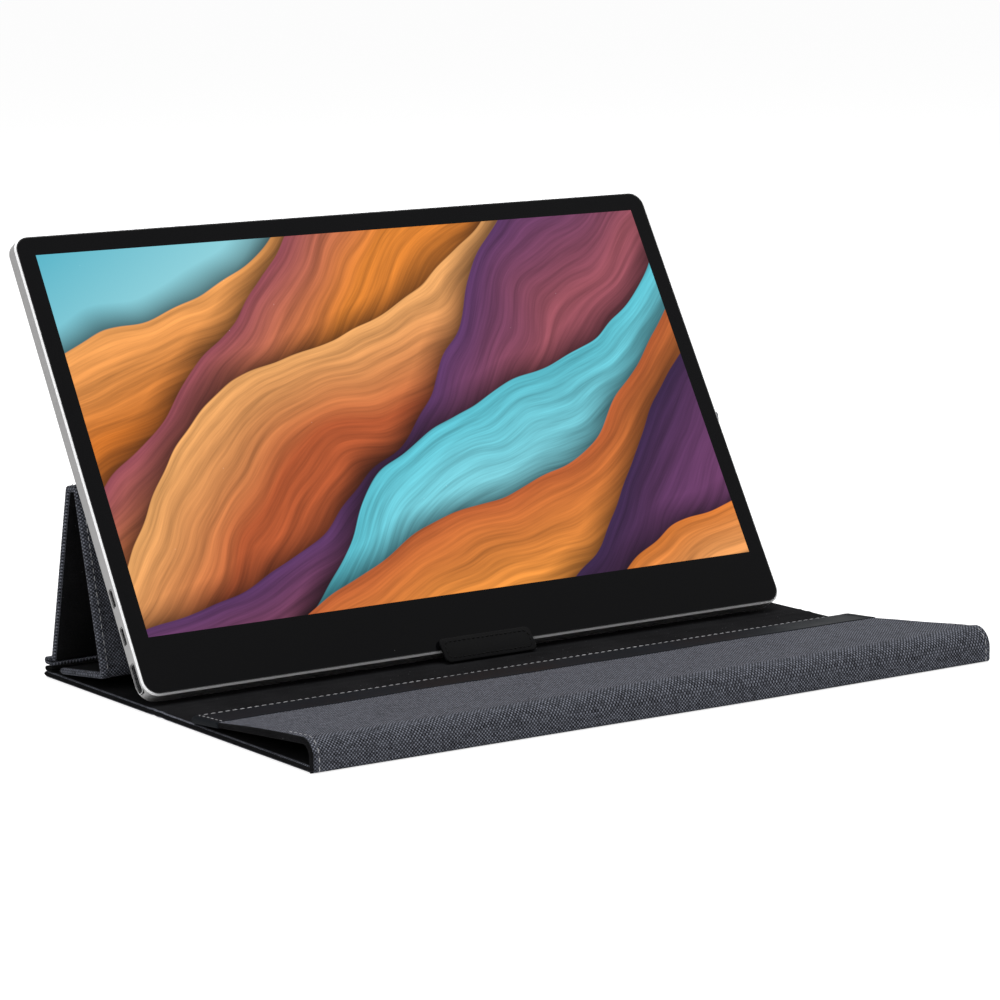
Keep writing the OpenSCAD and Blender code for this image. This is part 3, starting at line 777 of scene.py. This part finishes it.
# %% [markdown]
# ## Smooth band on the flap's tail
#
# A sleeve of smooth sheet is sewn over the free end of the flap. It is a second panel round the
# first, a little thicker and wider, so that it stands out from the cloth on every side.

# %% Smooth band
band_w, band_step, band_past = 23.2, 0.8, 0.4
band_over, band_under, band_side_r = 0.4, 0.35, 1.7
flap_dir = direction(flap_a)
band_path = [flap_tail + flap_dir * (band_step * k - band_past)
             for k in range(round(band_w / band_step) + 1)]
flap_band = soft_panel("band_panel", band_path, thick=panel_t + band_over + band_under, low=-band_over,
                       half=half_w + band_under, side_r=band_side_r, finishes=(smooth_band,) * 3,
                       outer_only=True,
                       shape=lambda x, s, t: flap_shape(x, flap_total - s + band_past, flap_total))
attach(flap_band, "closure_flap")
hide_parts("flap_band")
print("band", round(path_frame(band_path)[-1][0], 1), "mm wide")

# %% [markdown]
# ## Prop
#
# The rest of the cover folds into a triangle behind the monitor: rear leg, a narrow strip at the top,
# front leg, and a foot that lies on the base. Two panels are enough. Each bends over one crease, and
# they meet in the middle of the top strip.

# %% Prop panels
prop_h, strip_w, strip_fall = 96.5, 10, 9
lean_gap, foot_gap, crease_r, foot_r = 1.0, 0.9, 1.6, 3.6
leg_foot = Vector((115.1, 9.5))
foot_corner = Vector((62.5, 8.9))
foot_end = Vector((105.8, panel_t + foot_gap))
up_the_back = (prop_h - mon_foot.z) / math.cos(lean)
apex_front = Vector((mon_foot.y, mon_foot.z)) + up_the_back * Vector((math.sin(lean), math.cos(lean)))
apex_front.x += lean_gap / math.cos(lean)
apex_rear = apex_front + strip_w * direction(-strip_fall)
strip_middle = (apex_front + apex_rear) / 2
rear_path = smooth_path([leg_foot, apex_rear, strip_middle], crease_r)
front_path = smooth_path([strip_middle, apex_front, foot_corner, foot_end], {1: crease_r, 2: foot_r})
rear_leg_panel = soft_panel("rear_leg_panel", rear_path, round_ends=(True, False))
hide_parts("rear_leg_cloth", "rear_leg_lining")
front_leg_panel = soft_panel("front_leg_panel", front_path, round_ends=(False, True))
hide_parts("front_leg_cloth", "front_leg_lining", "foot_cloth", "foot_lining")
print("prop top at", [round(c, 1) for c in apex_front], [round(c, 1) for c in apex_rear])

# %% [markdown]
# ## Soft rear fold
#
# Behind the rear leg the cover has no board, only cloth and lining, and it lies crumpled in flat
# folds on the base. Each fold is a thin sheet that turns back on itself. On the real cover they
# flatten when the rear leg opens; here they are fixed to the base.

# %% Rear folds
def fold_sheet(name, corners, thick, radius, finish):
    return soft_panel(name, smooth_path(corners, radius, step=1.0), thick=thick, half=half_w - 0.4,
                      shape=lambda x, s, total: 0.10 * math.sin(x / 17 + s / 3),
                      side_r=thick * 0.45, finishes=(finish,) * 3)


lower_fold = fold_sheet("lower_fold", [(114.4, 3.3), (122.0, 3.3), (122.0, 5.5), (114.6, 5.5)],
                        thick=0.9, radius=1.0, finish=black_lining)
upper_fold = fold_sheet("upper_fold", [(114.8, 6.5), (122.4, 6.5), (122.4, 9.9), (116.3, 9.9)],
                        thick=1.3, radius=1.65, finish=woven_blue_grey)
for piece in (lower_fold, upper_fold):
    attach(piece, "base")
    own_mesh(piece)
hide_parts("rear_fold_lining")
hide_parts("rear_fold_cloth")
print("rear folds ready")

# %% [markdown]
# ## Retaining tab
#
# A small sewn tab stands up from the base and holds the monitor's lower edge. It is a plate with
# round corners and a soft backing, which it sinks into by a hair. Its rolled edge is the same
# outline drawn again at six depths, a little smaller at each face.

# %% Tab
tab_w, tab_x, tab_t = 52.0, -3.5, 1.7
tab_up, tab_gap, tab_corner = 6.0, 0.35, 2.8
backing_t, sunk = 0.7, 0.05
tab_low = Vector((14.2, panel_t + rest_gap))
tab_tip = glass_foot + tab_up * screen_up - tab_gap * screen_back
tab_high = Vector((tab_tip.y, tab_tip.z))
tab_a = angle_between(tab_low, tab_high)
tab_l = (tab_high - tab_low).length


def on_tab(x, along, out):
    q = tab_low + along * direction(tab_a) + out * direction(tab_a + 90)
    return Vector((tab_x + x, q.x, q.y)) * MM


def rounded_outline(w, l, r, n=8):
    """Points of a rounded oblong, from its upper right corner round to the lower right one."""
    pts = []
    for cx, cy, start in ((w / 2 - r, l - r, 0), (-w / 2 + r, l - r, 90),
                          (-w / 2 + r, r, 180), (w / 2 - r, r, 270)):
        for k in range(n + 1):
            a = math.radians(start + 90 * k / n)
            pts.append((cx + r * math.cos(a), cy + r * math.sin(a)))
    return pts


def tab_plate(name, low, high, finish, grow=0.0):
    roll = 0.45 * (high - low)
    layers = [(low, roll), (low + roll * 0.35, roll * 0.3), (low + roll, 0.0), (high - roll, 0.0),
              (high - roll * 0.35, roll * 0.3), (high, roll)]
    outlines = [[on_tab(x, y + inset - grow / 2, out) for x, y in
                 rounded_outline(tab_w + grow - 2 * inset, tab_l + grow - 2 * inset, tab_corner)]
                for out, inset in layers]
    n, last = len(outlines[0]), (len(layers) - 1) * len(outlines[0])
    faces = [(a + j, a + (j + 1) % n, a + n + (j + 1) % n, a + n + j)
             for a in range(0, last, n) for j in range(n)]
    faces += [tuple(range(n - 1, -1, -1)), tuple(range(last, last + n))]
    mesh = bpy.data.meshes.new(name)
    mesh.from_pydata(sum(outlines, []), [], faces)
    mesh.materials.append(finish)
    mesh.shade_smooth()
    outwards(mesh)
    return add_object(name, mesh)


tab_face = tab_plate("tab_face", backing_t - sunk, tab_t, tab_hide)
tab_back = tab_plate("tab_back", 0.0, backing_t, black_lining, grow=-0.5)
for piece, node, slot in ((tab_face, "tab_leather", "tab_leather"), (tab_back, "tab_backing", "lining")):
    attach(piece, "retaining_tab")
    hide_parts(node)
print("tab rises at", round(tab_a, 1), "degrees")

# %% [markdown]
# ## Stitches
#
# A seam is one small shape repeated along a path, which is what Geometry Nodes do well. The path is
# resampled at the stitch pitch, a stretched bead is put on each point and turned along the path, and
# the result is made a plain mesh.

# %% Stitch tree
BEAD_SEGMENTS, BEAD_RINGS = 8, 6
BEAD_POINTS = BEAD_SEGMENTS * (BEAD_RINGS - 1) + 2


def stitch_tree():
    tree = bpy.data.node_groups.new("stitches", "GeometryNodeTree")
    face = tree.interface
    face.new_socket("Geometry", in_out="INPUT", socket_type="NodeSocketGeometry")
    for label, value in (("Pitch", 0.0037), ("Length", 0.0026), ("Radius", 0.0003)):
        face.new_socket(label, in_out="INPUT", socket_type="NodeSocketFloat").default_value = value
    face.new_socket("Thread", in_out="INPUT", socket_type="NodeSocketMaterial")
    face.new_socket("Geometry", in_out="OUTPUT", socket_type="NodeSocketGeometry")
    make, link = tree.nodes.new, tree.links.new
    given, result = make("NodeGroupInput"), make("NodeGroupOutput")

    to_curve, resample = make("GeometryNodeMeshToCurve"), make("GeometryNodeResampleCurve")
    resample.mode = "LENGTH"
    link(given.outputs["Geometry"], to_curve.inputs[0])
    link(to_curve.outputs[0], resample.inputs["Curve"])
    link(given.outputs["Pitch"], resample.inputs["Length"])

    bead, size = make("GeometryNodeMeshUVSphere"), make("ShaderNodeCombineXYZ")
    for label, value in (("Segments", BEAD_SEGMENTS), ("Rings", BEAD_RINGS), ("Radius", 1.0)):
        bead.inputs[label].default_value = value
    half = make("ShaderNodeMath")
    half.operation = "MULTIPLY"
    half.inputs[1].default_value = 0.5
    link(given.outputs["Length"], half.inputs[0])
    link(given.outputs["Radius"], size.inputs[0])
    link(given.outputs["Radius"], size.inputs[1])
    link(half.outputs[0], size.inputs[2])

    place, turn = make("GeometryNodeInstanceOnPoints"), make("FunctionNodeAlignRotationToVector")
    turn.axis = "Z"
    link(make("GeometryNodeInputTangent").outputs[0], turn.inputs["Vector"])
    link(resample.outputs[0], place.inputs["Points"])
    link(bead.outputs["Mesh"], place.inputs["Instance"])
    link(turn.outputs[0], place.inputs["Rotation"])
    link(size.outputs[0], place.inputs["Scale"])

    realize, paint = make("GeometryNodeRealizeInstances"), make("GeometryNodeSetMaterial")
    link(place.outputs[0], realize.inputs[0])
    link(realize.outputs[0], paint.inputs["Geometry"])
    link(given.outputs["Thread"], paint.inputs["Material"])
    link(paint.outputs[0], result.inputs[0])
    return tree


stitches = stitch_tree()
input_ids = {i.name: i.identifier for i in stitches.interface.items_tree if i.in_out == "INPUT"}
print("stitch inputs:", list(input_ids))

# %% Sewing along paths
thread_rise = 0.18


def sew(name, paths, thread, pitch=3.7, length=2.5, radius=0.22):
    """Stitches along paths of points in metres, as one plain mesh."""
    verts, edges = [], []
    for path in paths:
        edges += [(len(verts) + k, len(verts) + k + 1) for k in range(len(path) - 1)]
        verts += path
    mesh = bpy.data.meshes.new(name + "_path")
    mesh.from_pydata(verts, edges, [])
    line = add_object(name + "_path", mesh)
    modifier = line.modifiers.new("stitches", "NODES")
    modifier.node_group = stitches
    for label, value in (("Pitch", pitch * MM), ("Length", length * MM), ("Radius", radius * MM),
                         ("Thread", thread)):
        modifier[input_ids[label]] = value
    graph = bpy.context.evaluated_depsgraph_get()
    sewn = bpy.data.meshes.new_from_object(line.evaluated_get(graph), depsgraph=graph)
    bpy.data.objects.remove(line)
    sewn.shade_smooth()
    return add_object(name, sewn)


def along_panel(path, inset, side, shape=None, start=0.0, stop=math.inf, inner_right=False):
    """A seam on a panel's outer face that follows its path, in from one side edge."""
    frames = path_frame(path)
    x, total = side * (half_w - inset), frames[-1][0]
    out = []
    for p, (s, t, n) in zip(path, frames):
        if start <= s <= stop:
            rise = thread_rise + (shape(x, s, total) if shape else 0.0)
            q = p + n * (rise if inner_right else -rise)
            out.append(Vector((x, q.x, q.y)) * MM)
    return out


print("seam helpers ready")

# %% Flap seams
flap_inset, flap_start, flap_stop = 3.6, 1.5, 34
row_lift, row_side, row_back, row_start = 0.5, 2.4, 2.3, 21.3
row_w, row_step, row_cuts = cover_w - 5, 0.5, 300
flap_sides = [along_panel(flap_path, flap_inset, side, flap_shape, start=flap_start, stop=flap_stop,
                          inner_right=True) for side in (-1, 1)]
flap_seams = sew("flap_side_stitches", flap_sides, pale_thread)
flap_out = direction(flap_a - 90)


def on_flap(x, from_tail):
    lift = row_lift + flap_shape(x, flap_total - from_tail, flap_total)
    q = flap_tail + from_tail * flap_dir + lift * flap_out
    return Vector((x, q.x, q.y)) * MM


# The row runs back along the band's left end, then along the tail.
side_cuts = round((row_start - row_back) / row_step)
side_run = [on_flap(-half_w + row_side, row_start - row_step * k) for k in range(side_cuts + 1)]
tail_run = [on_flap(-half_w + row_side + row_w * k / row_cuts, row_back) for k in range(row_cuts + 1)]
tail_seam = sew("flap_tail_stitches", [side_run + tail_run], pale_thread)
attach(tail_seam, "closure_flap")
print("flap stitches", [len(seam.data.vertices) // BEAD_POINTS for seam in (flap_seams, tail_seam)])

# %% Prop and tab seams
leg_inset, leg_start, clear_of_foot = 3.1, 2, 5
tab_inset, tab_seam_r, tab_thread_rise = 2.2, 3, 0.05
seam_stop = (strip_middle - apex_front).length + (apex_front - foot_corner).length - clear_of_foot
rear_sides = [along_panel(rear_path, leg_inset, side, start=leg_start) for side in (-1, 1)]
front_sides = [along_panel(front_path, leg_inset, side, stop=seam_stop) for side in (-1, 1)]
rear_seams = sew("rear_leg_stitches", rear_sides, pale_thread)
front_seams = sew("front_leg_stitches", front_sides, pale_thread)
fit_w, fit_l = 1 - 2 * tab_inset / tab_w, 1 - 2 * tab_inset / tab_l
tab_line = [on_tab(x * fit_w, tab_inset + y * fit_l, tab_t + tab_thread_rise)
            for x, y in rounded_outline(tab_w, tab_l, tab_seam_r)]
tab_line.append(tab_line[0])
tab_seam = sew("tab_stitches", [tab_line], black_thread, pitch=2.6, length=1.9, radius=0.28)
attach(tab_seam, "retaining_tab")
print("prop and tab stitches", [len(seam.data.vertices) // BEAD_POINTS
                                for seam in (rear_seams, front_seams, tab_seam)])

# %% [markdown]
# ## Cloth that crosses a crease
#
# The panels that cross a crease stay where they are built and are tied to no body, as are the
# seams on the flap and the rear leg. The seam on the front leg stops short of the foot, so it
# follows the leg alone.


for piece in (flap_panel, flap_seams):
    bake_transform(piece)
for piece in (rear_leg_panel, rear_seams):
    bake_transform(piece)
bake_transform(front_leg_panel)
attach(front_seams, "front_leg")

# %% [markdown]
# ## Floor and light
#
# A white floor under even studio light. Half of the floor's white is its own glow, seen by the camera
# and in reflections only, so it stays white far behind and the shadows on it stay soft. One large
# lamp above lights the top of the cover more than its front.

# %% Floor
FLOOR_HALF, FLOOR_DROP = 12.0, 0.0002
FLOOR_GLOW = 1.6


def seen_directly(tree):
    """1 for a ray from the camera, a gloss or a clear piece, and 0 for one that only lights."""
    rays = tree.nodes.new("ShaderNodeLightPath").outputs
    through = math_node(tree, "MAXIMUM", rays["Is Glossy Ray"], rays["Is Transmission Ray"])
    return math_node(tree, "MAXIMUM", rays["Is Camera Ray"], through)


def join_shaders(tree, kind, factor, first, second, output):
    """Mixes two shader nodes into the tree's output."""
    join = tree.nodes.new("ShaderNodeMixShader")
    for value, target in zip((factor, first.outputs[0], second.outputs[0]), join.inputs):
        tree.links.new(value, target)
    tree.links.new(join.outputs[0], output.inputs[kind])


def add_floor():
    corners = [(FLOOR_HALF * x, FLOOR_HALF * y, -FLOOR_DROP)
               for x, y in ((-1, -1), (1, -1), (1, 1), (-1, 1))]
    mesh = bpy.data.meshes.new("floor")
    mesh.from_pydata(corners, [], [(0, 1, 2, 3)])
    material, tree, shader = new_finish("white_floor", Roughness=0.9, Specular_IOR_Level=0.0,
                                        Base_Color=(0.97, 0.97, 0.97, 1))
    glow = tree.nodes.new("ShaderNodeEmission")
    glow.inputs["Strength"].default_value = FLOOR_GLOW
    half_seen = math_node(tree, "MULTIPLY", seen_directly(tree), 0.5)
    join_shaders(tree, "Surface", half_seen, shader, glow, tree.nodes["Material Output"])
    mesh.materials.append(material)
    obj = add_object("floor", mesh)


add_floor()
print("floor", 2 * FLOOR_HALF, "m wide")

# %% World and lamps
def add_world(strength):
    world = bpy.data.worlds.new("studio")
    bpy.context.scene.world = world
    world.use_nodes = True
    tree = world.node_tree
    tree.nodes.clear()
    light, backdrop = (tree.nodes.new("ShaderNodeBackground") for _ in range(2))
    for node, brightness in ((light, strength), (backdrop, 1.0)):
        node.inputs["Color"].default_value = (1, 1, 1, 1)
        node.inputs["Strength"].default_value = brightness
    join_shaders(tree, "Surface", seen_directly(tree), light, backdrop,
                 tree.nodes.new("ShaderNodeOutputWorld"))


def add_lamp(name, place, size, power, aim=(0, 0, 0.05)):
    data = bpy.data.lights.new(name, "AREA")
    data.shape = "SQUARE"
    data.size = size
    data.energy = power
    lamp = add_object(name, data)
    lamp.location = place
    lamp.rotation_euler = (Vector(aim) - Vector(place)).to_track_quat("-Z", "Y").to_euler()


add_world(0.36)
add_lamp("top_lamp", (0.2, 0.1, 2.2), size=2.0, power=50)
add_lamp("side_lamp", (-1.6, -0.9, 1.0), size=1.0, power=4)
bpy.context.scene.view_settings.view_transform = "Standard"
print("light ready")
